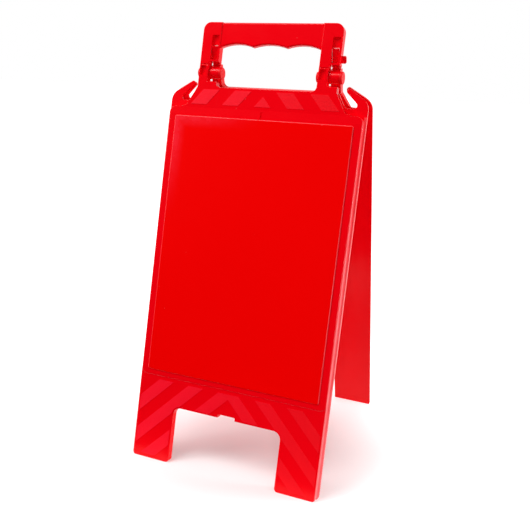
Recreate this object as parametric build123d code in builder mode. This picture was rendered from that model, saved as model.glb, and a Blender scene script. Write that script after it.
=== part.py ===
from build123d import *
import os
from math import atan2, cos, hypot, radians, sin, tan

os.makedirs("parts", exist_ok=True)

# Stance of the open stand, in degrees, and the gap between its folded leaves
stand_lean = 14.5
fold_gap = 0.6

# Feet and the arch between them
arch_height = 84.2
arch_corner = 12.0
foot_width = 62.5
foot_corner = 6.0
foot_spare = 0.4
foot_edge = 1.0
grip_notch_width = 28.0
grip_notch_height = 5.0
grip_notch_corner = 1.5

# Body and the frame around the sign plate
band_height = 42.5
plate_width = 276.0
plate_height = 389.0
plate_thickness = 3.0
plate_corner = 3.0
plate_edge = 1.3
frame_side = 12.0
frame_foot = 9.3
frame_head = 13.8
seat_depth = 1.5
seat_play = 0.2
pry_notch_width = 3.0
pry_notch_reach = 11.0
body_corner = 10.0
body_edge = 2.5
slope_margin = 3.0

# Thickness of the leaf and its walls
leaf_depth = 12.0
flange_depth = 3.2
flange_ledge = 2.8
flange_edge = 0.6
band_step = 0.8
wall = 3.0
face_wall = 2.3
back_wall = 2.0
cavity_corner = 6.0

# Header and its shoulders
header_height = 30.0
header_edge = 0.7
header_corner = 7.0
shoulder_reach = 15.5
shoulder_foot = 3.0
shoulder_run = 14.5
shoulder_dip = 1.5
shoulder_sink = 6.0

# Wings with a hooked slot for chain or tape
wing_height = 19.5
wing_corner = 18.0
wing_slope = 32.0
finger_gap_left = 8.8
finger_gap_right = 12.3
finger_corner = 3.2
hook_margin = 1.5
hook_floor = 11.0
hook_width_left = 15.2
hook_width_right = 16.6
hook_rise = 6.2
hook_slope = 43.2
hook_corner = 4.0
hook_heel = 8.0

# Hinge columns, knuckles and the wedge-shaped tongues above them
pillar_inset = 42.8
pillar_width = 29.7
stub_height = 8.0
hinge_lift = 14.5
column_lift = 10.5
knuckle_radius = 8.75
knuckle_gap = 0.5
recess_inset = 2.4
recess_margin = 4.0
recess_below = 5.5
recess_above = 8.3
recess_depth = 3.0
tongue_inset = 3.5
tongue_margin = 1.5
tongue_front = 9.3
tongue_back_foot = 4.5
tongue_back_head = 7.3
tongue_lift = 37.6
tongue_root_step = 2.0
tongue_root_play = 0.375

# Thumb lug on the outer tongue of the rear leaf
lug_foot = 18.0
lug_height = 10.2
lug_reach = 6.5
lug_back = 7.0
lug_corner = 2.2

# Hinge pins and their caps
pin_radius = 5.0
pin_play = 0.05
pin_head_radius = 8.75
pin_head_length = 4.0
pin_cap_radius = 7.5
pin_cap_length = 4.0
pin_cap_floor = 1.0
pin_edge = 0.8
side_play = 0.2

# Handle
handle_lift = 72.0
handle_corner = 11.5
handle_edge = 1.0
handle_seam = 0.2
grip_height = 31.0
grip_recess = 1.2
grip_edge = 2.5
grip_wave = 4.1
grip_end_drop = 6.0
grip_wave_fillet = 5.0
bridge_lift = 14.5
bridge_height = 3.0
slot_side_play = 0.7
slot_play = 0.4
slot_blind_height = 14.0
slot_blind_depth = 4.0
socket_play = 0.15
socket_head_room = 0.6
stop_play = 0.3
lug_play = 0.7

# Raised stripes
stripe_rise = 0.4
header_stripe_pitch = 51.0
header_stripe_lead = 13.0
header_stripe_width = 25.7
header_stripe_slant = 0.856
header_stripe_foot = 4.5
header_stripe_head = 3.7
band_stripe_pitch = 50.0
band_stripe_lead = 8.0
band_stripe_width = 24.5
band_stripe_slant = 1.0
band_stripe_head = 4.5
band_stripe_foot = 2.5
band_stripe_side = 3.5
band_stripe_margin = 2.5

# Sizes and levels that follow from the ones above
lean = radians(stand_lean)
fold_angle = 2 * lean
body_width = plate_width + 2 * frame_side
leaf_width = body_width + 2 * flange_ledge
arch_width = body_width - 2 * foot_width
foot_middle = (body_width - foot_width) / 2
body_foot = arch_height + band_height
plate_foot = body_foot + frame_foot
plate_head = plate_foot + plate_height
plate_middle = (plate_foot + plate_head) / 2
body_head = plate_head + frame_head
header_head = body_head + header_height
stub_head = header_head + stub_height
hinge_rise = stub_head + hinge_lift
column_head = hinge_rise + column_lift
handle_foot = column_head + handle_seam
handle_head = hinge_rise + handle_lift
leaf_back = fold_gap / 2
leaf_front = leaf_back + leaf_depth
flange_front = leaf_back + flange_depth
band_depth = leaf_depth - band_step
band_front = leaf_back + band_depth
seat_floor = leaf_front - seat_depth
cavity_back = leaf_back + back_wall
foot_drop = leaf_front * tan(lean) + foot_spare
pillar_outer = body_width / 2 - pillar_inset
pillar_inner = pillar_outer - pillar_width
shoulder_angle = atan2(shoulder_reach, header_height - shoulder_foot)
wing_head = body_head + wing_height
hook_low = body_head + hook_floor
hook_mouth = pillar_outer + hook_margin / cos(shoulder_angle)
hook_inner = hook_mouth + (header_head - hook_low) * tan(shoulder_angle)
finger_root = hook_low + hook_rise
knuckle_length = (pillar_width - knuckle_gap) / 2
knuckle_starts = (-pillar_outer, pillar_inner)
mate_offset = knuckle_length + knuckle_gap
recess_width = knuckle_length - recess_inset - recess_margin
tongue_width = knuckle_length - tongue_inset - tongue_margin
tongue_root_width = tongue_width + tongue_root_step
slot_width = tongue_width + 2 * slot_side_play
slot_inset = knuckle_length - tongue_inset - tongue_width - slot_side_play
header_stripe_room = pillar_outer + shoulder_reach + header_stripe_lead - header_stripe_width
header_stripe_pairs = int(header_stripe_room / header_stripe_pitch)
band_stripe_pairs = int((body_width / 2 + band_stripe_lead) / band_stripe_pitch)
bore_radius = pin_radius + pin_play
axis_height = hinge_rise * cos(lean)
foot_offset = hinge_rise * sin(lean)

# Where the tongue of the open rear leaf meets the handle, seen from the hinge axis
tongue_taper = (tongue_back_head - tongue_back_foot) / (tongue_lift - recess_above)
tongue_axis_back = tongue_back_foot - tongue_taper * recess_above
bridge_head = bridge_lift + bridge_height
tongue_root_reach = bridge_lift - tongue_root_play
tongue_root_lift = tongue_root_reach * cos(fold_angle) + leaf_back * sin(fold_angle)
touch_lift = (bridge_head - tongue_axis_back * sin(fold_angle)) / (
    cos(fold_angle) + tongue_taper * sin(fold_angle)
)
touch_back = tongue_axis_back + tongue_taper * touch_lift
stop_gap = stop_play / cos(fold_angle - atan2(tongue_taper, 1))
bridge_back = touch_lift * sin(fold_angle) - touch_back * cos(fold_angle) + stop_gap
slot_middle = hinge_rise + hypot(tongue_lift, tongue_front) + slot_play
lug_head = lug_foot + lug_height
lug_notch_foot = lug_foot * cos(fold_angle) + lug_back * sin(fold_angle) - lug_play
lug_notch_head = hypot(lug_head, tongue_front) + lug_play
lug_notch_depth = lug_head * sin(fold_angle) - lug_back * cos(fold_angle) + lug_play

# A leaf is modelled flat, back down, and then leaned on one of these planes
front_plane = Plane(origin=(0, -foot_offset, 0), x_dir=(1, 0, 0), z_dir=(0, -cos(lean), sin(lean)))
rear_plane = Plane(origin=(0, foot_offset, 0), x_dir=(-1, 0, 0), z_dir=(0, cos(lean), sin(lean)))
floor_plane = Plane(origin=(0, 0, 0), x_dir=(1, 0, 0), z_dir=(0, cos(lean), sin(lean)))


def arch_outline(grow):
    """Arch between the feet with its grip notch, grown by a margin."""
    with BuildSketch() as arch:
        with Locations((0, -foot_drop)):
            Rectangle(
                arch_width + 2 * grow, arch_height + foot_drop + grow, align=(Align.CENTER, Align.MIN)
            )
        fillet(arch.vertices().group_by(Axis.Y)[-1], arch_corner + grow)
        with Locations((0, arch_height)):
            Rectangle(
                grip_notch_width + 2 * grow, grip_notch_height + grow, align=(Align.CENTER, Align.MIN)
            )
        fillet(arch.vertices().group_by(Axis.Y)[-1], grip_notch_corner)
    return arch.sketch


def feet_outline():
    """Lower end of the leaf: a band with two feet."""
    with BuildSketch() as feet:
        with Locations((0, -foot_drop)):
            Rectangle(
                body_width, body_foot + body_corner + foot_drop, align=(Align.CENTER, Align.MIN)
            )
        add(arch_outline(0), mode=Mode.SUBTRACT)
        fillet(feet.vertices().group_by(Axis.Y)[0], foot_corner)
    return feet.sketch


def flange_half(finger_gap, hook_width):
    """Right half of the flange, from its foot to a wing whose slot lies beside the shoulder of the header."""
    finger_tip = pillar_outer + finger_gap
    finger_head = wing_head + (leaf_width / 2 - finger_tip) * tan(radians(wing_slope))
    hook_outer = hook_inner + hook_width
    finger_foot = finger_root + (hook_outer - finger_tip) * tan(radians(hook_slope))
    with BuildSketch() as half:
        with BuildLine():
            FilletPolyline(
                (foot_middle, -foot_drop),
                (leaf_width / 2, -foot_drop),
                (leaf_width / 2, wing_head),
                (finger_tip, finger_head),
                (finger_tip, finger_foot),
                (hook_outer, finger_root),
                (hook_outer, hook_low),
                (hook_inner, hook_low),
                (hook_mouth, header_head),
                radius=(
                    foot_corner + flange_ledge,
                    wing_corner,
                    finger_corner,
                    finger_corner,
                    hook_corner,
                    hook_corner,
                    hook_heel,
                ),
            )
            Polyline(
                (hook_mouth, header_head),
                (pillar_outer - wall, header_head),
                (pillar_outer - wall, body_head),
                (0, body_head),
                (0, body_foot),
                (foot_middle, body_foot),
                (foot_middle, -foot_drop),
            )
        make_face()
    return half.sketch


def tongue_profile(grow, head_room):
    """Side view of a tongue, from the hinge axis upwards, grown by a clearance."""
    with BuildSketch() as profile:
        with BuildLine():
            Polyline(
                (hinge_rise + recess_above - grow, tongue_back_foot - grow),
                (hinge_rise + tongue_lift + head_room, tongue_back_head - grow),
                (hinge_rise + tongue_lift + head_room, tongue_front + grow),
                (hinge_rise + recess_above - grow, tongue_front + grow),
                close=True,
            )
        make_face()
    return profile.sketch


def tongue_root_profile(grow):
    """Side view of the wider root of a tongue, grown by a clearance."""
    with BuildSketch() as profile:
        add(tongue_profile(grow, 0))
        with Locations((hinge_rise + tongue_root_lift + grow, 0)):
            Rectangle(
                2 * tongue_root_lift,
                4 * tongue_front,
                align=(Align.MAX, Align.CENTER),
                mode=Mode.INTERSECT,
            )
    return profile.sketch


# Raised body that frames the sign plate
with BuildPart() as body_block:
    with BuildSketch(Plane.XY.offset(leaf_back)):
        with Locations((0, (body_foot + body_head) / 2)):
            RectangleRounded(body_width, body_head - body_foot, body_corner)
    extrude(amount=leaf_depth)
    fillet(body_block.faces().sort_by(Axis.Z)[-1].edges(), body_edge)
    # Top of the frame, sloped down to the level of the header
    with BuildSketch(Plane.YZ):
        with BuildLine():
            Polyline(
                (plate_head + slope_margin, leaf_front),
                (body_head, band_front),
                (body_head, leaf_front),
                close=True,
            )
        make_face()
    extrude(amount=body_width, both=True, mode=Mode.SUBTRACT)

# Band and feet below the body
with BuildPart() as band_block:
    with BuildSketch(Plane.XY.offset(leaf_back)):
        add(feet_outline())
    extrude(amount=band_depth)
    fillet(band_block.faces().sort_by(Axis.Z)[-1].edges().sort_by(Axis.Y)[:-1], foot_edge)

# Thin flange along the back edge of the body and the feet, with the two hooked wings
with BuildPart() as flange_block:
    with BuildSketch(Plane.XY.offset(leaf_back)):
        add(flange_half(finger_gap_left, hook_width_left))
        mirror(about=Plane.YZ, mode=Mode.REPLACE)
        add(flange_half(finger_gap_right, hook_width_right))
    extrude(amount=flange_depth)
    flange_edges = flange_block.faces().sort_by(Axis.Z)[-1].edges()
    hidden_edges = flange_edges.filter_by_position(Axis.Y, -foot_drop, body_foot)
    hidden_edges = hidden_edges.filter_by_position(Axis.X, -foot_middle - wall, foot_middle + wall)
    fillet(flange_edges - hidden_edges, flange_edge)

# Header with the hinge stubs, and a column on the left side of each pillar
with BuildPart() as header_block:
    with BuildSketch(Plane.XY.offset(leaf_back)) as header_outline:
        with BuildLine():
            Polyline(
                (0, header_head),
                (pillar_inner, header_head),
                (pillar_inner, stub_head),
                (pillar_outer, stub_head),
                (pillar_outer, header_head),
                (pillar_outer + shoulder_reach, body_head + shoulder_foot),
                (pillar_outer + shoulder_reach + shoulder_run, body_head - shoulder_dip),
                (pillar_outer + shoulder_reach + shoulder_run, body_head - shoulder_sink),
                (0, body_head - shoulder_sink),
                close=True,
            )
        make_face()
        mirror(about=Plane.YZ)
        for start in knuckle_starts:
            with Locations((start, header_head)):
                Rectangle(knuckle_length, column_head - header_head, align=(Align.MIN, Align.MIN))
        header_line = header_outline.vertices().filter_by_position(Axis.Y, header_head, header_head)
        fillet(header_line.filter_by_position(Axis.X, -pillar_inner, pillar_inner), header_corner)
    extrude(amount=band_depth)
    fillet(header_block.faces().sort_by(Axis.Z)[-1].edges().sort_by(Axis.Y)[1:], header_edge)

# One leaf moulding, flat: x across, y up the leaf, z out of its front
with BuildPart() as moulding:
    add(body_block.part)
    add(band_block.part)
    add(flange_block.part)
    add(header_block.part)
    # Seat for the sign plate, with a notch to pry it out
    with BuildSketch(Plane.XY.offset(seat_floor)):
        with Locations((0, plate_middle)):
            RectangleRounded(
                plate_width + 2 * seat_play, plate_height + 2 * seat_play, plate_corner + seat_play
            )
        with Locations((0, plate_head)):
            Rectangle(pry_notch_width, pry_notch_reach, align=(Align.CENTER, Align.MIN))
    extrude(amount=seat_depth, mode=Mode.SUBTRACT)
    # Closed hollow behind the plate
    with BuildSketch(Plane.XY.offset(cavity_back)):
        with Locations((0, body_foot)):
            RectangleRounded(
                body_width - 2 * wall,
                body_head - wall - body_foot,
                cavity_corner,
                align=(Align.CENTER, Align.MIN),
            )
    extrude(amount=seat_floor - face_wall - cavity_back, mode=Mode.SUBTRACT)
    # Closed hollow in the band and the feet, open to the one behind the plate
    with BuildSketch(Plane.XY.offset(cavity_back)):
        with Locations((0, wall)):
            RectangleRounded(
                body_width - 2 * wall,
                body_foot + 3 * cavity_corner - wall,
                cavity_corner,
                align=(Align.CENTER, Align.MIN),
            )
        add(arch_outline(wall), mode=Mode.SUBTRACT)
    extrude(amount=seat_floor - face_wall - cavity_back, mode=Mode.SUBTRACT)
    # Closed hollow in the header
    with BuildSketch(Plane.XY.offset(cavity_back)):
        with Locations((0, (body_head + header_head) / 2)):
            RectangleRounded(2 * (pillar_outer - wall), header_height - 2 * wall, cavity_corner)
    extrude(amount=band_front - face_wall - cavity_back, mode=Mode.SUBTRACT)
    # Hinge knuckles with a shallow recess in front, and a tongue above each
    for start in knuckle_starts:
        with BuildSketch(Plane.YZ.offset(start)):
            with Locations((hinge_rise, 0)):
                Circle(knuckle_radius)
        extrude(amount=knuckle_length)
        with BuildSketch(Plane.YZ.offset(start)):
            with Locations((hinge_rise, 0)):
                Circle(bore_radius)
        extrude(amount=knuckle_length, mode=Mode.SUBTRACT)
        with BuildSketch(Plane.XY.offset(band_front)):
            with Locations((start + recess_inset, hinge_rise - recess_below)):
                Rectangle(recess_width, recess_below + recess_above, align=(Align.MIN, Align.MIN))
        extrude(amount=-recess_depth, mode=Mode.SUBTRACT)
        with BuildSketch(Plane.YZ.offset(start + tongue_inset)):
            add(tongue_profile(0, 0))
        extrude(amount=tongue_width)
        with BuildSketch(Plane.YZ.offset(start + tongue_inset + tongue_width)):
            add(tongue_root_profile(0))
        extrude(amount=-tongue_root_width)
    # Raised stripes on the header, leaning to the middle
    with BuildSketch(Plane.XY.offset(band_front)):
        stripe_low = body_head + header_stripe_foot
        stripe_high = header_head - header_stripe_head
        stripe_shift = (stripe_high - stripe_low) * header_stripe_slant
        triangle_half = header_stripe_width - header_stripe_lead
        with BuildLine():
            Polyline(
                (-triangle_half, stripe_low),
                (triangle_half, stripe_low),
                (0, stripe_low + triangle_half / header_stripe_slant),
                close=True,
            )
        make_face()
        for index in range(header_stripe_pairs):
            stripe_in = (index + 1) * header_stripe_pitch - header_stripe_lead
            stripe_out = stripe_in + header_stripe_width
            with BuildLine():
                Polyline(
                    (stripe_in, stripe_low),
                    (stripe_out, stripe_low),
                    (stripe_out - stripe_shift, stripe_high),
                    (stripe_in - stripe_shift, stripe_high),
                    close=True,
                )
            make_face()
        mirror(about=Plane.YZ)
    extrude(amount=stripe_rise)
    # Raised stripes on the band and the feet
    with BuildSketch(Plane.XY.offset(band_front)):
        stripe_high = body_foot - band_stripe_head
        stripe_low = band_stripe_foot
        stripe_shift = (stripe_high - stripe_low) * band_stripe_slant
        for index in range(band_stripe_pairs):
            stripe_in = index * band_stripe_pitch - band_stripe_lead
            stripe_out = stripe_in + band_stripe_width
            with BuildLine():
                Polyline(
                    (stripe_in, stripe_high),
                    (stripe_out, stripe_high),
                    (stripe_out + stripe_shift, stripe_low),
                    (stripe_in + stripe_shift, stripe_low),
                    close=True,
                )
            make_face()
        mirror(about=Plane.YZ)
        with Locations((0, stripe_low)):
            Rectangle(
                body_width - 2 * band_stripe_side,
                stripe_high - stripe_low,
                align=(Align.CENTER, Align.MIN),
                mode=Mode.INTERSECT,
            )
        add(arch_outline(band_stripe_margin), mode=Mode.SUBTRACT)
    extrude(amount=stripe_rise)
    # Feet cut level with the floor
    split(bisect_by=floor_plane, keep=Keep.TOP)

# Front leaf
with BuildPart(front_plane) as front_leaf:
    add(moulding.part)
front_leaf.part.label = "front_leaf"
export_step(front_leaf.part, "parts/front_leaf.step")

# Rear leaf: the same moulding with a thumb lug on its outer tongue
with BuildPart(rear_plane) as rear_leaf:
    add(moulding.part)
    with BuildSketch(rear_plane.offset(lug_back)) as lug_outline:
        with Locations((-pillar_outer - lug_reach, hinge_rise + lug_foot)):
            Rectangle(lug_reach + 2 * tongue_inset, lug_height, align=(Align.MIN, Align.MIN))
        fillet(lug_outline.vertices().group_by(Axis.X)[0], lug_corner)
    extrude(amount=tongue_front - lug_back)
rear_leaf.part.label = "rear_leaf"
export_step(rear_leaf.part, "parts/rear_leaf.step")

# Sign plates
with BuildPart() as plate_blank:
    with BuildSketch(Plane.XY.offset(seat_floor)):
        with Locations((0, plate_middle)):
            RectangleRounded(plate_width, plate_height, plate_corner)
    extrude(amount=plate_thickness)
    fillet(plate_blank.faces().sort_by(Axis.Z)[-1].edges(), plate_edge)
for plate_name, plate_plane in (("front_sign_plate", front_plane), ("rear_sign_plate", rear_plane)):
    with BuildPart(plate_plane) as sign_plate:
        add(plate_blank.part)
    sign_plate.part.label = plate_name
    export_step(sign_plate.part, f"parts/{plate_name}.step")

# Hinge pins and the caps that hold them
for side, start in zip(("left", "right"), knuckle_starts):
    cap_start = start - side_play
    pin_start = cap_start - pin_cap_length + pin_cap_floor
    head_start = start + pillar_width + side_play
    with BuildPart() as hinge_pin:
        with BuildSketch(Plane.YZ.offset(pin_start)):
            with Locations((0, axis_height)):
                Circle(pin_radius)
        extrude(amount=head_start - pin_start)
        with BuildSketch(Plane.YZ.offset(head_start)):
            with Locations((0, axis_height)):
                Circle(pin_head_radius)
        extrude(amount=pin_head_length)
        fillet(hinge_pin.faces().sort_by(Axis.X)[-1].edges(), pin_edge)
    hinge_pin.part.label = f"hinge_pin_{side}"
    export_step(hinge_pin.part, f"parts/hinge_pin_{side}.step")
    with BuildPart() as pin_cap:
        with BuildSketch(Plane.YZ.offset(cap_start)):
            with Locations((0, axis_height)):
                Circle(pin_cap_radius)
        extrude(amount=-pin_cap_length)
        fillet(pin_cap.faces().sort_by(Axis.X)[0].edges(), pin_edge)
        with BuildSketch(Plane.YZ.offset(cap_start)):
            with Locations((0, axis_height)):
                Circle(bore_radius)
        extrude(amount=pin_cap_floor - pin_cap_length, mode=Mode.SUBTRACT)
    pin_cap.part.label = f"pin_cap_{side}"
    export_step(pin_cap.part, f"parts/pin_cap_{side}.step")

# Uprights of the handle, cut away over the knuckles of the rear leaf
with BuildPart() as pillar_block:
    with BuildSketch(Plane.XY.offset(leaf_back)) as pillar_outline:
        with Locations((0, handle_foot)):
            Rectangle(
                2 * pillar_outer, handle_head - handle_foot, align=(Align.CENTER, Align.MIN)
            )
        fillet(pillar_outline.vertices().group_by(Axis.Y)[-1], handle_corner)
        with Locations((0, handle_foot)):
            Rectangle(
                2 * pillar_inner,
                handle_head - handle_foot,
                align=(Align.CENTER, Align.MIN),
                mode=Mode.SUBTRACT,
            )
        for start in knuckle_starts:
            with Locations((start + knuckle_length, handle_foot)):
                Rectangle(
                    mate_offset,
                    hinge_rise + bridge_lift - handle_foot,
                    align=(Align.MIN, Align.MIN),
                    mode=Mode.SUBTRACT,
                )
    extrude(amount=band_depth)
    fillet(pillar_block.faces().group_by(Axis.Z)[-1].edges(), handle_edge)

# Grip bar with three waves for the fingers on its underside
with BuildPart() as grip_block:
    grip_end = pillar_inner + handle_edge
    wave_width = 2 * pillar_inner / 3
    wave_crest = handle_head - grip_height
    wave_cusp = wave_crest - grip_wave
    wave_end = wave_crest - grip_end_drop
    with BuildSketch(Plane.XY.offset(leaf_back)) as grip_outline:
        with BuildLine():
            ThreePointArc((-wave_width / 2, wave_cusp), (0, wave_crest), (wave_width / 2, wave_cusp))
            ThreePointArc((wave_width / 2, wave_cusp), (wave_width, wave_crest), (grip_end, wave_end))
            Polyline(
                (grip_end, wave_end),
                (grip_end, handle_head),
                (-grip_end, handle_head),
                (-grip_end, wave_end),
            )
            ThreePointArc((-grip_end, wave_end), (-wave_width, wave_crest), (-wave_width / 2, wave_cusp))
        make_face()
        cusps = grip_outline.vertices().filter_by_position(Axis.Y, wave_cusp, wave_cusp)
        fillet(cusps, grip_wave_fillet)
    extrude(amount=band_depth - grip_recess)
    grip_edges = grip_block.faces().filter_by(Axis.Z).edges().filter_by(Axis.Y, reverse=True)
    fillet(grip_edges, grip_edge)

# Handle, snapped over the two tongues of the front leaf
with BuildPart() as handle_blank:
    add(pillar_block.part)
    add(grip_block.part)
    for start in knuckle_starts:
        # Slot that a tongue of the rear leaf swings into, blind at the top
        with BuildSketch(Plane.XY):
            with Locations((start + mate_offset + slot_inset, hinge_rise + bridge_head)):
                Rectangle(
                    slot_width, slot_middle - hinge_rise - bridge_head, align=(Align.MIN, Align.MIN)
                )
        extrude(amount=leaf_front, mode=Mode.SUBTRACT)
        with BuildSketch(Plane.XY.offset(band_front)):
            with Locations((start + mate_offset + slot_inset, slot_middle)):
                Rectangle(slot_width, slot_blind_height, align=(Align.MIN, Align.MIN))
        extrude(amount=-slot_blind_depth, mode=Mode.SUBTRACT)
        # Bridge under the slot, cut back to where the open tongue rests on it
        with BuildSketch(Plane.XY):
            with Locations((start + mate_offset + slot_inset, hinge_rise)):
                Rectangle(slot_width, bridge_head, align=(Align.MIN, Align.MIN))
        extrude(amount=bridge_back, mode=Mode.SUBTRACT)
        # Socket over a tongue of the front leaf
        with BuildSketch(Plane.YZ.offset(start + tongue_inset - socket_play)):
            add(tongue_profile(socket_play, socket_head_room))
        extrude(amount=tongue_width + 2 * socket_play, mode=Mode.SUBTRACT)
        with BuildSketch(Plane.YZ.offset(start + tongue_inset + tongue_width + socket_play)):
            add(tongue_root_profile(socket_play))
        extrude(amount=-tongue_root_width - 2 * socket_play, mode=Mode.SUBTRACT)
    # Notch in the outer wall, open at the back, for the thumb lug
    with BuildSketch(Plane.XY):
        with Locations((pillar_outer, hinge_rise + lug_notch_foot)):
            Rectangle(2 * tongue_inset, lug_notch_head - lug_notch_foot, align=(Align.CENTER, Align.MIN))
    extrude(amount=lug_notch_depth, mode=Mode.SUBTRACT)
with BuildPart(front_plane) as handle:
    add(handle_blank.part)
handle.part.label = "handle"
export_step(handle.part, "parts/handle.step")
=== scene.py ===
"""Looks of the folding floor sign stand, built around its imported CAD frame.

The CAD nodes keep their shape and get moulded-plastic finishes. Geometry Nodes add the stipple on the raised
stripes. A pale floor, soft lamps and a camera at the photograph's angle complete the scene. Lengths are in
metres.
"""

import logging
import math
from dataclasses import dataclass, field
from enum import Enum
from typing import ClassVar, Union

import bpy
from mathutils import Matrix, Vector


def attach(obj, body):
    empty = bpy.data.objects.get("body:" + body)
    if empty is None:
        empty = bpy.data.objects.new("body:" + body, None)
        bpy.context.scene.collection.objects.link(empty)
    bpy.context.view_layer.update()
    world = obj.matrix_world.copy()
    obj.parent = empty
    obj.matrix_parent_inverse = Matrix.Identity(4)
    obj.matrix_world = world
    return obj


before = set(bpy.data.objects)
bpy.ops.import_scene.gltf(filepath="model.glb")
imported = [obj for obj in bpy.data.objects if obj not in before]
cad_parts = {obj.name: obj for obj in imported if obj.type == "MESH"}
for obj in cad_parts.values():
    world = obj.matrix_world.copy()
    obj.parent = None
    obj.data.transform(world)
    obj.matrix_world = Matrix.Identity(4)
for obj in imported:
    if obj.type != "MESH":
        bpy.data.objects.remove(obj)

log = logging.getLogger("sign_stand")

Socket = bpy.types.NodeSocket
Sockets = bpy.types.bpy_prop_collection
Feed = Union[Socket, float, int, bool, tuple]
Colour = tuple[float, float, float, float]
Point = tuple[float, float, float]
Span = tuple[float, float]

FLOAT = "NodeSocketFloat"
VECTOR = "NodeSocketVector"
GEOMETRY = "NodeSocketGeometry"
WHITE: Colour = (1.0, 1.0, 1.0, 1.0)
NEAR_BLACK: Colour = (0.01, 0.01, 0.01, 1.0)
NOISE_MEAN = 0.5


class LeafSide(Enum):
    """The two leaves: the body each belongs to and the sign of its turn about the vertical axis."""

    FRONT = ("front", 1.0)
    REAR = ("rear", -1.0)

    @property
    def body(self) -> str:
        """Name of the CAD body that the leaf moves with."""
        return self.value[0]

    @property
    def turn(self) -> float:
        """One for the front leaf and minus one for the rear leaf, which is turned half round."""
        return self.value[1]


class RecordSlot(Enum):
    """Material slots of the record; no piece here takes its finish from them."""

    LEAF = "leaf_plastic"


@dataclass(frozen=True)
class LeafFrame:
    """Where a leaf stands: across (u), up the leaf (v) and out of its front (h)."""

    lean: float = math.radians(14.5)
    hinge_rise: float = 0.5913

    @property
    def foot_offset(self) -> float:
        """Distance of a leaf's foot from the middle of the open stand."""
        return self.hinge_rise * math.sin(self.lean)

    def matrix(self, side: LeafSide) -> Matrix:
        """Give the placing of a leaf that is modelled flat.

        Args:
            side: The leaf to place.

        Returns:
            The matrix from the flat leaf to the stand's frame.
        """
        sine, cosine = math.sin(self.lean), math.cos(self.lean)
        flat = Matrix((
            (1.0, 0.0, 0.0, 0.0),
            (0.0, sine, -cosine, -self.foot_offset),
            (0.0, cosine, sine, 0.0),
            (0.0, 0.0, 0.0, 1.0),
        ))
        half_turn = Matrix.Rotation(math.pi, 4, "Z") if side is LeafSide.REAR else Matrix.Identity(4)
        return half_turn @ flat


@dataclass(frozen=True)
class StripeRow:
    """One row of stripes, mirrored about the middle of the leaf.

    Low and high bound the row up the leaf and reach bounds it across. Lead is how much of the first stripe lies
    past the middle. Slant is how far a stripe moves outwards for each unit up the leaf, so it is negative where
    stripes lean inwards.
    """

    low: float
    high: float
    pitch: float
    width: float
    lead: float
    slant: float
    count: int
    reach: float


@dataclass(frozen=True)
class LeafSizes:
    """Sizes of a leaf that its finishes and its stipple follow."""

    header: StripeRow = StripeRow(
        low=0.5433, high=0.5651, pitch=0.051, width=0.0257, lead=0.013, slant=-0.856, count=3, reach=0.1227)
    band: StripeRow = StripeRow(
        low=0.0025, high=0.1222, pitch=0.050, width=0.0245, lead=0.008, slant=-1.0, count=4, reach=0.1465)
    stripe_face: float = 0.0119
    arch_half: float = 0.0900
    arch_head: float = 0.0867
    notch_half: float = 0.0165
    notch_head: float = 0.0917
    body_foot: float = 0.1267
    body_head: float = 0.5388
    edge_half: float = 0.1495
    flange_back: float = 0.0003
    plate_half: float = 0.1380
    plate_head: float = 0.5250


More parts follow.
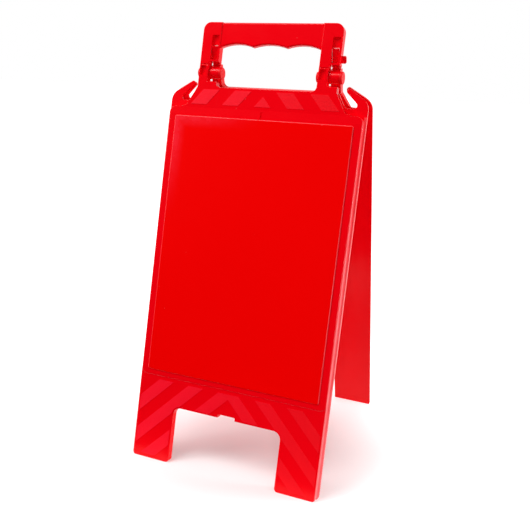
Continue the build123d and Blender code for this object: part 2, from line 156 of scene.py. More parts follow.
class NodeSheet:
    """Short calls for laying out the nodes of one tree."""

    def __init__(self, tree: bpy.types.NodeTree) -> None:
        """Keep the tree that the nodes go into."""
        self.tree = tree

    def feed(self, socket: Socket, value: Feed) -> None:
        """Join a socket to an output, or set its value.

        Args:
            socket: The input to feed.
            value: An output socket to link, or a plain value.
        """
        if isinstance(value, Socket):
            self.tree.links.new(value, socket)
        else:
            socket.default_value = value

    def add(
        self, kind: str, feeds: dict[Union[str, int], Feed] | None = None, **settings: object,
    ) -> bpy.types.Node:
        """Add a node.

        Args:
            kind: The node's type.
            feeds: What goes into its inputs, by name or place.
            settings: Properties of the node.

        Returns:
            The new node.
        """
        node = self.tree.nodes.new(kind)
        for name, value in settings.items():
            setattr(node, name, value)
        for key, value in (feeds or {}).items():
            self.feed(node.inputs[key], value)
        return node

    def math(self, operation: str, *values: Feed) -> Socket:
        """Add a Math node.

        Args:
            operation: What the node does.
            values: Its operands.

        Returns:
            The result.
        """
        return self.add("ShaderNodeMath", dict(enumerate(values)), operation=operation).outputs[0]

    def product(self, first: Feed, *others: Feed) -> Feed:
        """Multiply values together.

        Args:
            first: The first value.
            others: The values it is multiplied by.

        Returns:
            The product.
        """
        result = first
        for value in others:
            result = self.math("MULTIPLY", result, value)
        return result

    def between(self, share: Feed, low: float, high: float) -> Socket:
        """Go evenly from one value to another.

        Args:
            share: How far to go, from 0 to 1.
            low: The result at 0.
            high: The result at 1.

        Returns:
            The value between the two.
        """
        return self.math("MULTIPLY_ADD", share, high - low, low)

    def span(self, value: Feed, low: float, high: float) -> Socket:
        """Rise smoothly from 0 at low to 1 at high, or fall where low is the greater.

        Args:
            value: The value that is mapped.
            low: Where the result is 0.
            high: Where the result is 1.

        Returns:
            The mapped value.
        """
        feeds = {"Value": value, "From Min": low, "From Max": high, "To Min": 0.0, "To Max": 1.0}
        return self.add("ShaderNodeMapRange", feeds, interpolation_type="SMOOTHSTEP").outputs[0]

    def blend(self, factor: Feed, first: Feed, second: Feed) -> Socket:
        """Mix two colours.

        Args:
            factor: Share of the second colour.
            first: The colour at 0.
            second: The colour at 1.

        Returns:
            The mixed colour.
        """
        return self.add("ShaderNodeMix", {0: factor, 6: first, 7: second}, data_type="RGBA").outputs[2]

    def noise(self, position: Feed, scale: Feed, detail: float) -> Socket:
        """Add a noise texture.

        Args:
            position: Where the noise is read.
            scale: Repeats in a metre.
            detail: Octaves of finer noise.

        Returns:
            The noise value, about 0.5 on average.
        """
        return self.add("ShaderNodeTexNoise", {"Vector": position, "Scale": scale, "Detail": detail}).outputs[0]

    def split(self, vector: Feed) -> Sockets:
        """Return the three parts of a vector."""
        return self.add("ShaderNodeSeparateXYZ", {0: vector}).outputs

    def join(self, **parts: Feed) -> Socket:
        """Return a vector of the parts named X, Y and Z, where a part that isn't named is 0."""
        return self.add("ShaderNodeCombineXYZ", parts).outputs[0]

    def seen_directly(self) -> Socket:
        """Tell the rays that show the surroundings from those that light the object.

        Returns:
            One for camera, glossy and transmission rays and 0 for others.
        """
        rays = self.add("ShaderNodeLightPath").outputs
        shown = self.math("MAXIMUM", rays["Is Camera Ray"], rays["Is Glossy Ray"])
        return self.math("MAXIMUM", shown, rays["Is Transmission Ray"])


class FinishSheet(NodeSheet):
    """The sheet of a new material, with the material's Principled shader at hand."""

    def __init__(self, name: str) -> None:
        """Make the material and keep its shader.

        Args:
            name: The material's name.
        """
        self.material = bpy.data.materials.new(name)
        self.material.use_nodes = True
        super().__init__(self.material.node_tree)
        self.shader = self.tree.nodes["Principled BSDF"]

    def position(self) -> Socket:
        """Return Object coordinates."""
        return self.add("ShaderNodeTexCoord").outputs["Object"]

    def shade(self, **feeds: Feed) -> None:
        """Feed the shader's inputs, with _ for spaces in their names."""
        for name, value in feeds.items():
            self.feed(self.shader.inputs[name.replace("_", " ")], value)


class SharedGroup:
    """A node group that is built once and placed wherever it is needed."""

    title: ClassVar[str] = ""
    kind: ClassVar[str] = "ShaderNodeTree"
    takes: ClassVar[dict[str, str]] = {}
    gives: ClassVar[dict[str, str]] = {}

    def lay_out(self, sheet: NodeSheet, given: dict[str, Socket]) -> dict[str, Feed]:
        """Lay out the group's nodes.

        Args:
            sheet: The sheet of the group's tree.
            given: The group's inputs by name.

        Returns:
            What goes to each output, by name.
        """
        raise NotImplementedError

    def tree(self) -> bpy.types.NodeTree:
        """Find the group's tree, which is built on first use.

        Returns:
            The tree.
        """
        found = bpy.data.node_groups.get(self.title)
        if found:
            return found
        tree = bpy.data.node_groups.new(self.title, self.kind)
        for name, socket in self.takes.items():
            tree.interface.new_socket(name=name, in_out="INPUT", socket_type=socket)
        for name, socket in self.gives.items():
            tree.interface.new_socket(name=name, in_out="OUTPUT", socket_type=socket)
        sheet = NodeSheet(tree)
        entry = sheet.add("NodeGroupInput")
        results = self.lay_out(sheet, {name: entry.outputs[name] for name in self.takes})
        sheet.add("NodeGroupOutput", results)
        return tree

    def place(self, sheet: NodeSheet, **feeds: Feed) -> Sockets:
        """Place the group in a tree.

        Args:
            sheet: The sheet of the tree that uses the group.
            feeds: What goes into its inputs, by name.

        Returns:
            The placed group's outputs.
        """
        kind = self.kind.replace("Tree", "Group")
        return sheet.add(kind, feeds, node_tree=self.tree()).outputs


class LeafCoordinates(SharedGroup):
    """Turns a position in the stand's frame into across, up and out on a leaf."""

    title = "Leaf coordinates"
    takes = {"Position": VECTOR, "Turn": FLOAT}
    gives = {"Across": FLOAT, "Up": FLOAT, "Out": FLOAT}

    def lay_out(self, sheet: NodeSheet, given: dict[str, Socket]) -> dict[str, Feed]:
        """Lay out the turn about the vertical axis and the lean.

        Args:
            sheet: The sheet of the group's tree.
            given: The group's inputs by name.

        Returns:
            What goes to each output, by name.
        """
        place = LeafFrame()
        sine, cosine = math.sin(place.lean), math.cos(place.lean)
        parts = sheet.split(given["Position"])
        across = sheet.product(parts[0], given["Turn"])
        inward = sheet.math("MULTIPLY_ADD", parts[1], given["Turn"], place.foot_offset)
        up = sheet.math("ADD", sheet.product(inward, sine), sheet.product(parts[2], cosine))
        out = sheet.math("SUBTRACT", sheet.product(parts[2], sine), sheet.product(inward, cosine))
        return {"Across": across, "Up": up, "Out": out}


class MouldedSkin(SharedGroup):
    """The skin of a moulding: fine grain, slow ripples of the cooled face and a faint drift of tone."""

    title = "Moulded skin"
    takes = {"Position": VECTOR, "Grain": FLOAT}
    gives = {"Height": FLOAT, "Gloss": FLOAT, "Tone": FLOAT}
    grain_scale: ClassVar[float] = 1700.0
    ripple_scale: ClassVar[float] = 45.0
    drift_scale: ClassVar[float] = 9.0

    def lay_out(self, sheet: NodeSheet, given: dict[str, Socket]) -> dict[str, Feed]:
        """Lay out the three noises and weigh them.

        Args:
            sheet: The sheet of the group's tree.
            given: The group's inputs by name.

        Returns:
            What goes to each output, by name.
        """
        grain = sheet.noise(given["Position"], self.grain_scale, detail=1.0)
        ripple = sheet.noise(given["Position"], self.ripple_scale, detail=1.0)
        drift = sheet.noise(given["Position"], self.drift_scale, detail=2.0)
        return {
            "Height": sheet.math("MULTIPLY_ADD", grain, given["Grain"], ripple),
            "Gloss": sheet.math("SUBTRACT", sheet.math("ADD", ripple, drift), 2 * NOISE_MEAN),
            "Tone": sheet.math("SUBTRACT", drift, NOISE_MEAN),
        }


class HandlingMarks(SharedGroup):
    """Marks of use: a few hairline scratches and specks of dust."""

    title = "Handling marks"
    takes = {"Position": VECTOR}
    gives = {"Scratch": FLOAT, "Speck": FLOAT}
    patch_scale: ClassVar[float] = 14.0
    patch_rise: ClassVar[Span] = (0.56, 0.74)
    scratch_turn: ClassVar[Point] = (0.3, 0.5, 0.4)
    scratch_scales: ClassVar[Point] = (1300.0, 30.0, 30.0)
    scratch_rise: ClassVar[Span] = (0.78, 0.84)
    speck_scale: ClassVar[float] = 75.0
    speck_rise: ClassVar[Span] = (0.045, 0.025)
    speck_choice: ClassVar[float] = 0.9

    def lay_out(self, sheet: NodeSheet, given: dict[str, Socket]) -> dict[str, Feed]:
        """Lay out the scratches, kept to a few patches, and the specks.

        Args:
            sheet: The sheet of the group's tree.
            given: The group's inputs by name.

        Returns:
            What goes to each output, by name.
        """
        position = given["Position"]
        patches = sheet.span(sheet.noise(position, self.patch_scale, detail=3.0), *self.patch_rise)
        stretched = sheet.add("ShaderNodeMapping", {
            "Vector": position, "Rotation": self.scratch_turn, "Scale": self.scratch_scales,
        }).outputs[0]
        lines = sheet.span(sheet.noise(stretched, scale=1.0, detail=0.0), *self.scratch_rise)
        cells = sheet.add("ShaderNodeTexVoronoi", {"Vector": position, "Scale": self.speck_scale}).outputs
        dots = sheet.span(cells["Distance"], *self.speck_rise)
        chosen = sheet.math("GREATER_THAN", sheet.split(cells["Color"])[0], self.speck_choice)
        return {"Scratch": sheet.product(lines, patches), "Speck": sheet.product(dots, chosen)}


class Blotches(SharedGroup):
    """Uneven blotches, from a least share to the whole, that break up the painted edge highlight and the painted
    corner sheen.
    """

    title = "Blotches"
    takes = {"Position": VECTOR, "Scale": FLOAT, "Least": FLOAT}
    gives = {"Share": FLOAT}
    rise: ClassVar[Span] = (0.3, 0.7)

    def lay_out(self, sheet: NodeSheet, given: dict[str, Socket]) -> dict[str, Feed]:
        """Lay out a noise and lift it to the least share.

        Args:
            sheet: The sheet of the group's tree.
            given: The group's inputs by name.

        Returns:
            What goes to each output, by name.
        """
        cover = sheet.span(sheet.noise(given["Position"], given["Scale"], detail=3.0), *self.rise)
        change = sheet.math("SUBTRACT", 1.0, given["Least"])
        return {"Share": sheet.math("MULTIPLY_ADD", cover, change, given["Least"])}


@dataclass(frozen=True)
class PlasticFinish:
    """What the stand's plastics share: a moulded skin over a colour and a roughness."""

    name: str
    colour: Colour
    speck_colour: Colour
    roughness: float
    shine: float
    grain: float
    relief: float
    bump_strength: float
    tone_swing: float
    gloss_swing: float

    def lay_skin(self, sheet: FinishSheet, position: Socket, colour: Feed, roughness: Feed) -> None:
        """Lay the moulded skin over a finish and feed the shader.

        Args:
            sheet: The sheet of the material.
            position: Object coordinates.
            colour: The finish's colour without the skin.
            roughness: The finish's roughness without the skin.
        """
        skin = MouldedSkin().place(sheet, Position=position, Grain=self.grain)
        tone = sheet.math("MULTIPLY_ADD", skin["Tone"], self.tone_swing, 1.0)
        bump = sheet.add("ShaderNodeBump", {
            "Strength": self.bump_strength, "Distance": self.relief, "Height": skin["Height"],
        })
        sheet.shade(
            Base_Color=sheet.add("ShaderNodeVectorMath", {0: colour, 3: tone}, operation="SCALE").outputs[0],
            Roughness=sheet.math("MULTIPLY_ADD", skin["Gloss"], self.gloss_swing, roughness),
            Normal=bump.outputs[0],
        )


@dataclass(frozen=True)
class MouldedPlastic(PlasticFinish):
    """Red semi-gloss moulding, matt on the raised stripes, where a painted pale sheen fades from the left of a
    leaf to its right, and with a painted pale highlight along its outer edges.

    A share is how much of a paler colour shows there, and a clearance is how far a mask stays off its neighbour.
    """

    colour: Colour = (0.86, 0.0, 0.0045, 1.0)
    speck_colour: Colour = (0.92, 0.12, 0.12, 1.0)
    roughness: float = 0.20
    shine: float = 0.16
    grain: float = 0.10
    relief: float = 0.00005
    bump_strength: float = 0.5
    tone_swing: float = 0.05
    gloss_swing: float = 0.06
    scratch_colour: Colour = (0.93, 0.03, 0.04, 1.0)
    scratch_share: float = 0.3
    stripe_sheen_colour: Colour = (0.96, 0.003, 0.019, 1.0)
    stripe_roughness: float = 0.42
    stripe_shine: float = 0.10
    stripe_sheen_right_share: float = 0.15
    stripe_tolerance: float = 0.00012
    stripe_clearance: float = 0.003
    edge_highlight_colour: Colour = (0.96, 0.22, 0.23, 1.0)
    edge_highlight_width: float = 0.0012
    edge_highlight_clearance: float = 0.0006
    edge_highlight_top_share: float = 0.25
    edge_highlight_foot_share: float = 0.90
    edge_highlight_blotch_scale: float = 60.0
    edge_highlight_least: float = 0.8

    def stripe_mask(self, sheet: NodeSheet, leaf: Sockets) -> Feed:
        """Mark the raised faces of the stripes.

        Args:
            sheet: The sheet of the material.
            leaf: The leaf's coordinates.

        Returns:
            One on the stripes and 0 elsewhere.
        """
        sizes = LeafSizes()
        raised = sheet.math("COMPARE", leaf["Out"], sizes.stripe_face, self.stripe_tolerance)
        below = sheet.math("LESS_THAN", leaf["Up"], sizes.body_foot - self.stripe_clearance)
        above = sheet.math("GREATER_THAN", leaf["Up"], sizes.body_head + self.stripe_clearance)
        return sheet.product(raised, sheet.math("ADD", below, above))

    def stripe_sheen_fade(self, sheet: NodeSheet, leaf: Sockets) -> Socket:
        """Fade the stripes' painted pale sheen from the left of a leaf to its right, the way the light falls on
        them.

        Args:
            sheet: The sheet of the material.
            leaf: The leaf's coordinates.

        Returns:
            One at the left and the right share at the right.
        """
        reach = LeafSizes().band.reach
        return sheet.between(sheet.span(leaf["Across"], reach, -reach), self.stripe_sheen_right_share, 1.0)

    def edge_highlight_mask(self, sheet: NodeSheet, leaf: Sockets, position: Socket) -> Feed:
        """Mark the outer edges of a leaf for a painted pale highlight, palest low down and broken up in
        blotches.

        Args:
            sheet: The sheet of the material.
            leaf: The leaf's coordinates.
            position: Object coordinates.

        Returns:
            How much painted highlight the surface takes, from 0 to 1.
        """
        sizes = LeafSizes()
        beside = sheet.math("ABSOLUTE", leaf["Across"])
        rim_highlight = sheet.span(beside, sizes.edge_half - self.edge_highlight_width, sizes.edge_half)
        ahead = sheet.math("GREATER_THAN", leaf["Out"], sizes.flange_back + self.edge_highlight_clearance)
        below = sheet.math("LESS_THAN", leaf["Up"], sizes.body_head)
        lowness = sheet.span(leaf["Up"], sizes.body_head, 0.0)
        fade = sheet.between(lowness, self.edge_highlight_top_share, self.edge_highlight_foot_share)
        uneven = Blotches().place(sheet, Position=position, Scale=self.edge_highlight_blotch_scale, Least=self.edge_highlight_least)
        return sheet.product(rim_highlight, ahead, below, fade, uneven["Share"])

    def material(self, side: LeafSide | None = None, striped: bool = False) -> bpy.types.Material:
        """Build the finish as a material.

        Args:
            side: The leaf whose stripes it shows, or None for a piece without stripes.
            striped: Whether the whole piece lies on the stripes.

        Returns:
            The new material.
        """
        sheet = FinishSheet(self.name)
        position = sheet.position()
        marks = HandlingMarks().place(sheet, Position=position)
        colour: Feed = self.colour
        roughness: Feed = self.roughness
        if side is not None:
            leaf = LeafCoordinates().place(sheet, Position=position, Turn=side.turn)
            mask = 1.0 if striped else self.stripe_mask(sheet, leaf)
            # The stripes' paler colour is painted sheen, fading from the left of the leaf to its right.
            pale = sheet.product(mask, self.stripe_sheen_fade(sheet, leaf))
            colour = sheet.blend(pale, colour, self.stripe_sheen_colour)
            # Painted pale highlight along the leaf's outer edges, palest low down.
            colour = sheet.blend(self.edge_highlight_mask(sheet, leaf, position), colour, self.edge_highlight_colour)
            roughness = sheet.between(mask, self.roughness, self.stripe_roughness)
        scratch = sheet.product(marks["Scratch"], self.scratch_share)
        colour = sheet.blend(scratch, colour, self.scratch_colour)
        colour = sheet.blend(marks["Speck"], colour, self.speck_colour)
        self.lay_skin(sheet, position, colour, roughness)
        sheet.shade(Specular_IOR_Level=self.stripe_shine if striped else self.shine)
        return sheet.material


@dataclass(frozen=True)
class SatinSheet(PlasticFinish):
    """The smooth sign plate: satin red, with a painted pale highlight along its sides and top and a painted
    sheen, broken up by smudges, at its upper left corner.

    A sheen reach's two values are how far the painted corner sheen reaches from its edge and how far along that
    edge.
    """

    colour: Colour = (0.89, 0.0, 0.0, 1.0)
    speck_colour: Colour = (0.92, 0.10, 0.10, 1.0)
    roughness: float = 0.20
    shine: float = 0.15
    grain: float = 0.15
    relief: float = 0.00003
    bump_strength: float = 0.4
    tone_swing: float = 0.03
    gloss_swing: float = 0.03
    corner_sheen_colour: Colour = (0.93, 0.012, 0.030, 1.0)
    smudge_roughness: float = 0.15
    left_sheen_reach: Span = (0.022, 0.16)
    top_sheen_reach: Span = (0.020, 0.15)
    smear_scale: float = 90.0
    smear_least: float = 0.6
    rim_highlight_colour: Colour = (0.95, 0.06, 0.07, 1.0)
    rim_highlight_width: float = 0.0014
    rim_highlight_full: float = 0.00042

    def corner_sheen_and_smudge(self, sheet: NodeSheet, leaf: Sockets, position: Socket) -> Feed:
        """Mark the painted sheen at the upper left corner of the plate, broken up by smudges.

        Args:
            sheet: The sheet of the material.
            leaf: The leaf's coordinates.
            position: Object coordinates.

        Returns:
            How much painted sheen and smudge the surface takes, from 0 to 1.
        """
        sizes = LeafSizes()
        from_left = sheet.math("ADD", leaf["Across"], sizes.plate_half)
        from_top = sheet.math("SUBTRACT", sizes.plate_head, leaf["Up"])
        near_left = sheet.product(
            sheet.span(from_left, self.left_sheen_reach[0], 0.0), sheet.span(from_top, self.left_sheen_reach[1], 0.0))
        near_top = sheet.product(
            sheet.span(from_top, self.top_sheen_reach[0], 0.0), sheet.span(from_left, self.top_sheen_reach[1], 0.0))
        smears = Blotches().place(sheet, Position=position, Scale=self.smear_scale, Least=self.smear_least)
        return sheet.product(sheet.math("MAXIMUM", near_left, near_top), smears["Share"])

    def rim_highlight(self, sheet: NodeSheet, leaf: Sockets) -> Socket:
        """Mark the plate's border at the sides and the top for a painted pale highlight.

        Args:
            sheet: The sheet of the material.
            leaf: The leaf's coordinates.

        Returns:
            One on the border and 0 on the face.
        """
        sizes = LeafSizes()
        from_side = sheet.math("SUBTRACT", sizes.plate_half, sheet.math("ABSOLUTE", leaf["Across"]))
        from_top = sheet.math("SUBTRACT", sizes.plate_head, leaf["Up"])
        return sheet.span(sheet.math("MINIMUM", from_side, from_top), self.rim_highlight_width, self.rim_highlight_full)

    def material(self, side: LeafSide) -> bpy.types.Material:
        """Build the finish as a material.

        Args:
            side: The leaf that carries the plate.

        Returns:
            The new material.
        """
        sheet = FinishSheet(self.name)
        position = sheet.position()
        leaf = LeafCoordinates().place(sheet, Position=position, Turn=side.turn)
        marks = HandlingMarks().place(sheet, Position=position)
        # Painted sheen at the plate's upper left corner, broken up by smudges, which also roughen it.
        sheen_and_smudge = self.corner_sheen_and_smudge(sheet, leaf, position)
        colour = sheet.blend(sheen_and_smudge, self.colour, self.corner_sheen_colour)
        # Painted pale highlight along the plate's border at its sides and top.
        colour = sheet.blend(self.rim_highlight(sheet, leaf), colour, self.rim_highlight_colour)
        colour = sheet.blend(marks["Speck"], colour, self.speck_colour)
        roughness = sheet.math("MULTIPLY_ADD", sheen_and_smudge, self.smudge_roughness, self.roughness)
        self.lay_skin(sheet, position, colour, roughness)
        sheet.shade(Specular_IOR_Level=self.shine)
        return sheet.material


class StripeRule(SharedGroup):
    """Tells whether a point of the flat leaf lies on a row of mirrored stripes, clear of their edges."""

    title = "Stripe rule"
    kind = "GeometryNodeTree"
    takes = dict.fromkeys((
        "Across", "Up", "Start", "Low", "High", "Pitch", "Width", "Lead", "Slant", "Last", "Reach", "Margin",
    ), FLOAT)
    gives = {"On Stripe": FLOAT}

    def lay_out(self, sheet: NodeSheet, given: dict[str, Socket]) -> dict[str, Feed]:
        """Lay out the walk along a row, the repeat of its stripes and the row's bounds.

        Args:
            sheet: The sheet of the group's tree.
            given: The group's inputs by name.

        Returns:
            What goes to each output, by name.
        """
        margin = given["Margin"]
        across = sheet.math("ABSOLUTE", given["Across"])
        climb = sheet.math("SUBTRACT", given["Up"], given["Start"])
        walk = sheet.math("ADD", across, given["Lead"])
        walk = sheet.math("SUBTRACT", walk, sheet.product(climb, given["Slant"]))
        phase = sheet.math("FLOORED_MODULO", walk, given["Pitch"])
        return {"On Stripe": sheet.product(
            sheet.math("GREATER_THAN", phase, margin),
            sheet.math("LESS_THAN", phase, sheet.math("SUBTRACT", given["Width"], margin)),
            sheet.math("GREATER_THAN", walk, 0.0),
            sheet.math("LESS_THAN", walk, given["Last"]),
            sheet.math("LESS_THAN", across, sheet.math("SUBTRACT", given["Reach"], margin)),
            sheet.math("GREATER_THAN", given["Up"], sheet.math("ADD", given["Low"], margin)),
            sheet.math("LESS_THAN", given["Up"], sheet.math("SUBTRACT", given["High"], margin)),
        )}


def put(name: str, data: bpy.types.ID) -> bpy.types.Object:
    """Put a mesh, a lamp or a camera into the scene.

    Args:
        name: The new object's name.
        data: What the object holds.

    Returns:
        The new object.
    """
    piece = bpy.data.objects.new(name, data)
    bpy.context.scene.collection.objects.link(piece)
    return piece


@dataclass
class StripeStipple:
    """Fine raised stipple that covers the stripes of one leaf."""

    finish: bpy.types.Material
    pitch: float = 0.0017
    foot_radius: float = 0.00062
    top_radius: float = 0.00026
    rise: float = 0.00014
    sink: float = 0.00003
    jitter: float = 0.00022
    seed: int = 7
    stud_sides: int = 6
    stud_scales: Span = (0.75, 1.05)
    sizes: LeafSizes = field(default_factory=LeafSizes)
    takes: ClassVar[dict[str, str]] = {
        **dict.fromkeys(("Width", "Height", "Pitch", "Foot Radius", "Top Radius", "Rise", "Jitter"), FLOAT),
        "Seed": "NodeSocketInt", "Finish": "NodeSocketMaterial",
    }

    def on_row(self, sheet: NodeSheet, across: Feed, up: Feed, row: StripeRow, start: float) -> Socket:
        """Place the stripe rule for one row.

        Args:
            sheet: The sheet of the stipple's tree.
            across: Distance from the middle of the leaf.
            up: Distance up the leaf.
            row: The row's sizes.
            start: The level at which the row's lead is measured.

        Returns:
            One on the row's stripes and 0 elsewhere.
        """
        return StripeRule().place(
            sheet, Across=across, Up=up, Start=start, Low=row.low, High=row.high, Pitch=row.pitch,
            Width=row.width, Lead=row.lead, Slant=row.slant, Last=row.pitch * row.count, Reach=row.reach,
            Margin=self.foot_radius,
        )["On Stripe"]

    def on_stripes(self, sheet: NodeSheet) -> Socket:
        """Find the points that lie on a stripe of either row and clear of the arch.

        Args:
            sheet: The sheet of the stipple's tree.

        Returns:
            One on the stripes and 0 elsewhere.
        """
        sizes = self.sizes
        parts = sheet.split(sheet.add("GeometryNodeInputPosition").outputs[0])
        header = self.on_row(sheet, parts[0], parts[1], sizes.header, sizes.header.low)
        band = self.on_row(sheet, parts[0], parts[1], sizes.band, sizes.band.high)
        across = sheet.math("ABSOLUTE", parts[0])
        beside = sheet.math("GREATER_THAN", across, sizes.arch_half + self.foot_radius)
        over_arch = sheet.math("GREATER_THAN", parts[1], sizes.arch_head + self.foot_radius)
        past_notch = sheet.math("GREATER_THAN", across, sizes.notch_half + self.foot_radius)
        over_notch = sheet.math("GREATER_THAN", parts[1], sizes.notch_head + self.foot_radius)
        over = sheet.product(over_arch, sheet.math("MAXIMUM", past_notch, over_notch))
        band = sheet.product(band, sheet.math("MAXIMUM", beside, over))
        return sheet.math("MAXIMUM", header, band)

    def points(self, sheet: NodeSheet, given: Sockets) -> Socket:
        """Lay out a staggered, slightly shaken grid and thin it to the stripes.

        Args:
            sheet: The sheet of the stipple's tree.
            given: The tree's inputs.

        Returns:
            The points that carry studs.
        """
        width, height, pitch, jitter = (given[name] for name in ("Width", "Height", "Pitch", "Jitter"))
        columns, rows = (
            sheet.math("ADD", sheet.math("FLOOR", sheet.math("DIVIDE", side, pitch)), 1.0)
            for side in (width, height)
        )
        grid = sheet.add("GeometryNodeMeshGrid", {
            "Size X": width, "Size Y": height, "Vertices X": columns, "Vertices Y": rows,
        }).outputs["Mesh"]
        middle = sheet.join(Y=sheet.product(height, 0.5))
        raised = sheet.add("GeometryNodeTransform", {"Geometry": grid, "Translation": middle}).outputs[0]
        row = sheet.math("FLOORED_MODULO", sheet.add("GeometryNodeInputIndex").outputs[0], rows)
        stagger = sheet.product(sheet.math("FLOORED_MODULO", row, 2.0), sheet.product(pitch, 0.5))
        shake = sheet.add("FunctionNodeRandomValue", {
            0: (0.0, 0.0, 0.0), 1: sheet.join(X=jitter, Y=jitter), "Seed": given["Seed"],
        }, data_type="FLOAT_VECTOR").outputs[0]
        shift = sheet.add("ShaderNodeVectorMath", {0: shake, 1: sheet.join(X=stagger)}, operation="ADD")
        moved = sheet.add("GeometryNodeSetPosition", {"Geometry": raised, "Offset": shift.outputs[0]})
        off = sheet.math("LESS_THAN", self.on_stripes(sheet), 0.5)
        return sheet.add("GeometryNodeDeleteGeometry", {
            "Geometry": moved.outputs[0], "Selection": off,
        }, domain="POINT").outputs[0]

    def studs(self, sheet: NodeSheet, given: Sockets, points: Socket) -> Socket:
        """Set a small stud on each point, turned and sized at random.

        Args:
            sheet: The sheet of the stipple's tree.
            given: The tree's inputs.
            points: The points that carry studs.

        Returns:
            The studs as instances.
        """
        stud = sheet.add("GeometryNodeMeshCone", {
            "Vertices": self.stud_sides, "Radius Top": given["Top Radius"],
            "Radius Bottom": given["Foot Radius"], "Depth": given["Rise"],
        }, fill_type="NGON").outputs["Mesh"]
        turn, size = (
            sheet.add("FunctionNodeRandomValue", {2: low, 3: high, "Seed": given["Seed"]}, data_type="FLOAT")
            for low, high in ((0.0, math.tau), self.stud_scales)
        )
        return sheet.add("GeometryNodeInstanceOnPoints", {
            "Points": points, "Instance": stud,
            "Rotation": sheet.join(Z=turn.outputs[1]), "Scale": size.outputs[1],
        }).outputs[0]

    def tree(self) -> bpy.types.NodeTree:
        """Build the tree that makes the stipple.

        Returns:
            The Geometry Nodes tree.
        """
        tree = bpy.data.node_groups.new("Stripe stipple", "GeometryNodeTree")
        for name, socket in {"Geometry": GEOMETRY, **self.takes}.items():
            tree.interface.new_socket(name=name, in_out="INPUT", socket_type=socket)
        tree.interface.new_socket(name="Geometry", in_out="OUTPUT", socket_type=GEOMETRY)
        sheet = NodeSheet(tree)
        given = sheet.add("NodeGroupInput").outputs
        studs = self.studs(sheet, given, self.points(sheet, given))
        realised = sheet.add("GeometryNodeRealizeInstances", {"Geometry": studs}).outputs[0]
        dressed = sheet.add("GeometryNodeSetMaterial", {"Geometry": realised, "Material": given["Finish"]})
        sheet.add("NodeGroupOutput", {"Geometry": dressed.outputs[0]})
        return tree

    def build(self, side: LeafSide) -> bpy.types.Object:
        """Make the stipple of one leaf as a plain mesh that rides on it.

        Args:
            side: The leaf that carries the stipple.

        Returns:
            The finished piece.
        """
        values = {
            "Width": 2 * self.sizes.band.reach, "Height": self.sizes.header.high, "Pitch": self.pitch,
            "Foot Radius": self.foot_radius, "Top Radius": self.top_radius, "Rise": self.rise + self.sink,
            "Jitter": self.jitter, "Seed": self.seed, "Finish": self.finish,
        }
        name = f"{side.body}_stripe_stipple"
        blank = put(name + "_blank", bpy.data.meshes.new(name + "_blank"))
        modifier = blank.modifiers.new("Stipple", "NODES")
        tree = self.tree()
        modifier.node_group = tree
        for item in tree.interface.items_tree:
            if item.in_out == "INPUT" and item.name in values:
                modifier[item.identifier] = values[item.name]
        evaluated = blank.evaluated_get(bpy.context.evaluated_depsgraph_get())
        mesh = bpy.data.meshes.new_from_object(evaluated)
        blank.modifiers.remove(modifier)
        bpy.data.objects.remove(blank)
        face = Matrix.Translation((0.0, 0.0, self.sizes.stripe_face - self.sink))
        mesh.transform(LeafFrame().matrix(side) @ face)
        mesh.name = name
        piece = put(name, mesh)
        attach(piece, side.body)
        return piece


def dress(node: str, material: bpy.types.Material) -> bpy.types.Object:
    """Give a CAD node its finish.

    Args:
        node: The node's name.
        material: The finish it wears.

    Returns:
        The node's object.
    """
    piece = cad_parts[node]
    piece.data.materials.clear()
    piece.data.materials.append(material)
    return piece


@dataclass
class StandLeaf:
    """One leaf with its sign plate and the stipple on its stripes."""

    side: LeafSide

    def build(self) -> list[bpy.types.Object]:
        """Dress the leaf and its plate and add the stipple.

        Returns:
            The leaf's pieces.
        """
        body = self.side.body
        moulding = MouldedPlastic(f"{body} leaf plastic")
        stipple = MouldedPlastic(f"{body} stripe plastic")
        return [
            dress(f"{body}_leaf", moulding.material(self.side)),
            dress(f"{body}_sign_plate", SatinSheet(f"{body} plate sheet").material(self.side)),
            StripeStipple(stipple.material(self.side, striped=True)).build(self.side),
        ]


@dataclass
class CarryHandle:
    """The handle over the hinges."""

    finish: MouldedPlastic = MouldedPlastic("handle plastic")

    def build(self) -> list[bpy.types.Object]:
        """Dress the handle."""
        return [dress("handle", self.finish.material())]


@dataclass
class HingeSet:
    """The two hinge pins and the caps that hold them."""

    finish: MouldedPlastic = MouldedPlastic("pin plastic", colour=(0.80, 0.0, 0.004, 1.0), roughness=0.42)

    def build(self) -> list[bpy.types.Object]:
        """Dress the pins and the caps in one finish.

        Returns:
            The pins and the caps.
        """
        material = self.finish.material()
        nodes = [f"{piece}_{hand}" for hand in ("left", "right") for piece in ("hinge_pin", "pin_cap")]
        return [dress(node, material) for node in nodes]


def quad(name: str, corners: list[Vector], material: bpy.types.Material) -> bpy.types.Object:
    """Put a flat sheet of four corners into the scene.

    Args:
        name: The sheet's name.
        corners: Its corners, in order round it.
        material: The finish it wears.

    Returns:
        The sheet's object.
    """
    mesh = bpy.data.meshes.new(name)
    mesh.from_pydata(corners, [], [(0, 1, 2, 3)])
    mesh.materials.append(material)
    return put(name, mesh)


@dataclass(frozen=True)
class SoftBox:
    """One soft lamp: where it hangs, what it looks at, its size and its power."""

    name: str
    place: Point
    target: Point
    width: float
    height: float
    power: float

    def build(self) -> bpy.types.Object:
        """Hang the lamp and aim it.

        Returns:
            The lamp's object.
        """
        lamp = bpy.data.lights.new(self.name, "AREA")
        lamp.shape = "RECTANGLE"
        lamp.size, lamp.size_y, lamp.energy = self.width, self.height, self.power
        holder = put(self.name, lamp)
        holder.location = self.place
        holder.rotation_euler = (Vector(self.target) - Vector(self.place)).to_track_quat("-Z", "Y").to_euler()
        return holder


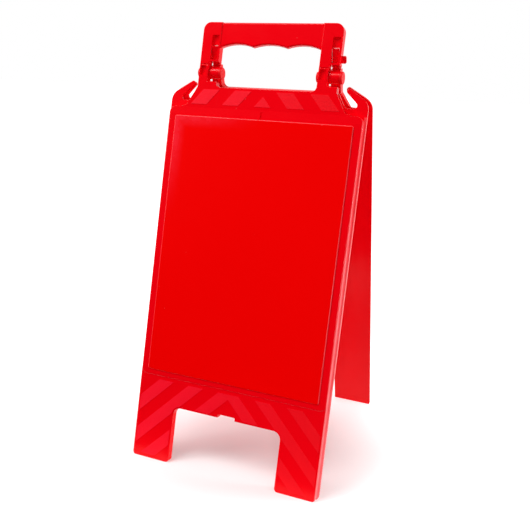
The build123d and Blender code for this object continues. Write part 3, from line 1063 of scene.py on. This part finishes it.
@dataclass(frozen=True)
class FlagCard:
    """A black card, out of the camera's sight, that keeps the white room off the faces turned to it."""

    name: str
    middle: Point
    across: Point
    along: Point

    def build(self) -> bpy.types.Object:
        """Set the card up.

        Returns:
            The card's object.
        """
        middle, across, along = Vector(self.middle), Vector(self.across) / 2, Vector(self.along) / 2
        corners = [middle + step for step in (-across - along, across - along, across + along, along - across)]
        sheet = FinishSheet("black card")
        sheet.shade(Base_Color=NEAR_BLACK, Specular_IOR_Level=0.0)
        card = quad(self.name, corners, sheet.material)
        card.visible_camera = False
        return card


@dataclass(frozen=True)
class PaleFloor:
    """The floor, lifted to white where it is seen and still showing the shadow.

    To the object, the floor in front of it is dark, so that its faces don't mirror a white floor. No camera
    sees that. The glow rises with the distance from its middle, and cameras see the far floor lifted a little
    more.
    """

    half: float = 9.0
    colour: Colour = (0.82, 0.82, 0.82, 1.0)
    roughness: float = 0.6
    glow_middle: Point = (0.0, -0.08, 0.0)
    glow_rise: Span = (0.08, 0.35)
    near_glow: float = 0.08
    far_glow: float = 0.70
    horizon_rise: Span = (0.6, 1.6)
    horizon_lift: float = 0.30
    dark_start: float = -0.235

    def finish(self) -> bpy.types.Material:
        """Build the floor's finish.

        Returns:
            The new material.
        """
        sheet = FinishSheet("pale floor")
        position = sheet.position()
        camera_ray = sheet.add("ShaderNodeLightPath").outputs["Is Camera Ray"]
        ahead = sheet.math("LESS_THAN", sheet.split(position)[1], self.dark_start)
        dark = sheet.product(ahead, sheet.math("SUBTRACT", 1.0, camera_ray))
        shown = sheet.product(sheet.seen_directly(), sheet.math("SUBTRACT", 1.0, dark))
        distance = sheet.add("ShaderNodeVectorMath", {0: position, 1: self.glow_middle}, operation="DISTANCE")
        reach = distance.outputs["Value"]
        glow = sheet.between(sheet.span(reach, *self.glow_rise), self.near_glow, self.far_glow)
        horizon = sheet.product(sheet.span(reach, *self.horizon_rise), camera_ray)
        glow = sheet.math("MULTIPLY_ADD", horizon, self.horizon_lift, glow)
        sheet.shade(
            Base_Color=sheet.blend(dark, self.colour, NEAR_BLACK), Roughness=self.roughness,
            Specular_IOR_Level=0.0, Emission_Color=WHITE, Emission_Strength=sheet.product(shown, glow))
        return sheet.material

    def build(self) -> bpy.types.Object:
        """Lay the floor under the stand.

        Returns:
            The floor's object.
        """
        sides = ((-1.0, -1.0), (1.0, -1.0), (1.0, 1.0), (-1.0, 1.0))
        corners = [Vector((self.half * x, self.half * y, 0.0)) for x, y in sides]
        ground = quad("floor", corners, self.finish())
        return ground


@dataclass(frozen=True)
class PhotoCamera:
    """The camera at the photograph's angle, with its focal length in pixels of the photograph."""

    focal_pixels: float = 673.66
    image_pixels: float = 530.0
    sensor_width: float = 36.0
    azimuth: float = math.radians(21.888)
    pitch: float = math.radians(17.561)
    roll: float = math.radians(1.435)
    place: Point = (0.377435, -0.93614, 0.604895)

    def build(self) -> bpy.types.Object:
        """Set the camera up and make it the scene's own.

        Returns:
            The camera's object.
        """
        lens = bpy.data.cameras.new("camera")
        lens.sensor_width = self.sensor_width
        lens.lens = self.sensor_width * self.focal_pixels / self.image_pixels
        level = Vector((math.cos(self.azimuth), math.sin(self.azimuth), 0.0))
        ahead = Vector((-math.sin(self.azimuth), math.cos(self.azimuth), 0.0))
        rise = Vector((0.0, 0.0, 1.0))
        look = ahead * math.cos(self.pitch) - rise * math.sin(self.pitch)
        upright = ahead * math.sin(self.pitch) + rise * math.cos(self.pitch)
        right = level * math.cos(self.roll) + upright * math.sin(self.roll)
        up = upright * math.cos(self.roll) - level * math.sin(self.roll)
        turn = Matrix((right, up, -look)).transposed().to_4x4()
        holder = put("camera", lens)
        holder.matrix_world = Matrix.Translation(Vector(self.place)) @ turn
        bpy.context.scene.camera = holder
        return holder


@dataclass
class Studio:
    """The white surroundings, the camera, the pale floor, the black card and the soft lamps."""

    ambient: float = 0.55
    camera: PhotoCamera = PhotoCamera()
    floor: PaleFloor = PaleFloor()
    card: FlagCard = FlagCard(
        "front card", middle=(-0.25, -2.5, 1.35), across=(7.3, 0.0, 0.0), along=(0.0, 0.0, 2.7))
    lamps: tuple[SoftBox, ...] = (
        SoftBox("key lamp", (-0.7, -0.6, 1.9), (0.0, 0.0, 0.4), width=0.8, height=0.8, power=16.0),
        SoftBox("left lamp", (-1.9, -1.1, 1.2), (0.0, 0.0, 0.3), width=0.9, height=0.9, power=20.0),
        SoftBox("front lamp", (0.6, -1.6, 0.5), (0.05, 0.0, 0.25), width=0.4, height=0.4, power=9.5),
        SoftBox("right lamp", (1.5, -0.8, 0.3), (0.1, 0.1, 0.15), width=0.5, height=0.5, power=2.0),
        SoftBox("side lamp", (1.6, 0.35, 0.3), (0.0, 0.0, 0.3), width=0.4, height=0.8, power=19.0),
        SoftBox("top lamp", (0.1, 0.7, 2.3), (0.0, 0.0, 0.3), width=1.0, height=1.0, power=6.0),
    )

    def surround(self) -> None:
        """Make the world: white where it is seen, and a plain level where it lights."""
        world = bpy.data.worlds.new("White surroundings")
        world.use_nodes = True
        sheet = NodeSheet(world.node_tree)
        backdrop = world.node_tree.nodes["Background"]
        sheet.feed(backdrop.inputs["Color"], WHITE)
        sheet.feed(backdrop.inputs["Strength"], sheet.between(sheet.seen_directly(), self.ambient, 1.0))
        bpy.context.scene.world = world

    def build(self) -> list[bpy.types.Object]:
        """Make the surroundings and set up everything in them.

        Returns:
            The studio's objects.
        """
        bpy.context.scene.view_settings.view_transform = "Standard"
        self.surround()
        return [fitting.build() for fitting in (self.camera, self.floor, self.card, *self.lamps)]


def main() -> None:
    logging.basicConfig(level=logging.INFO, format="%(name)s: %(message)s")
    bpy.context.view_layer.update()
    for assembly in (Studio(), StandLeaf(LeafSide.FRONT), StandLeaf(LeafSide.REAR), CarryHandle(), HingeSet()):
        for piece in assembly.build():
            log.info("%s: %s", type(assembly).__name__, piece.name)


if __name__ == "__main__":
    main()
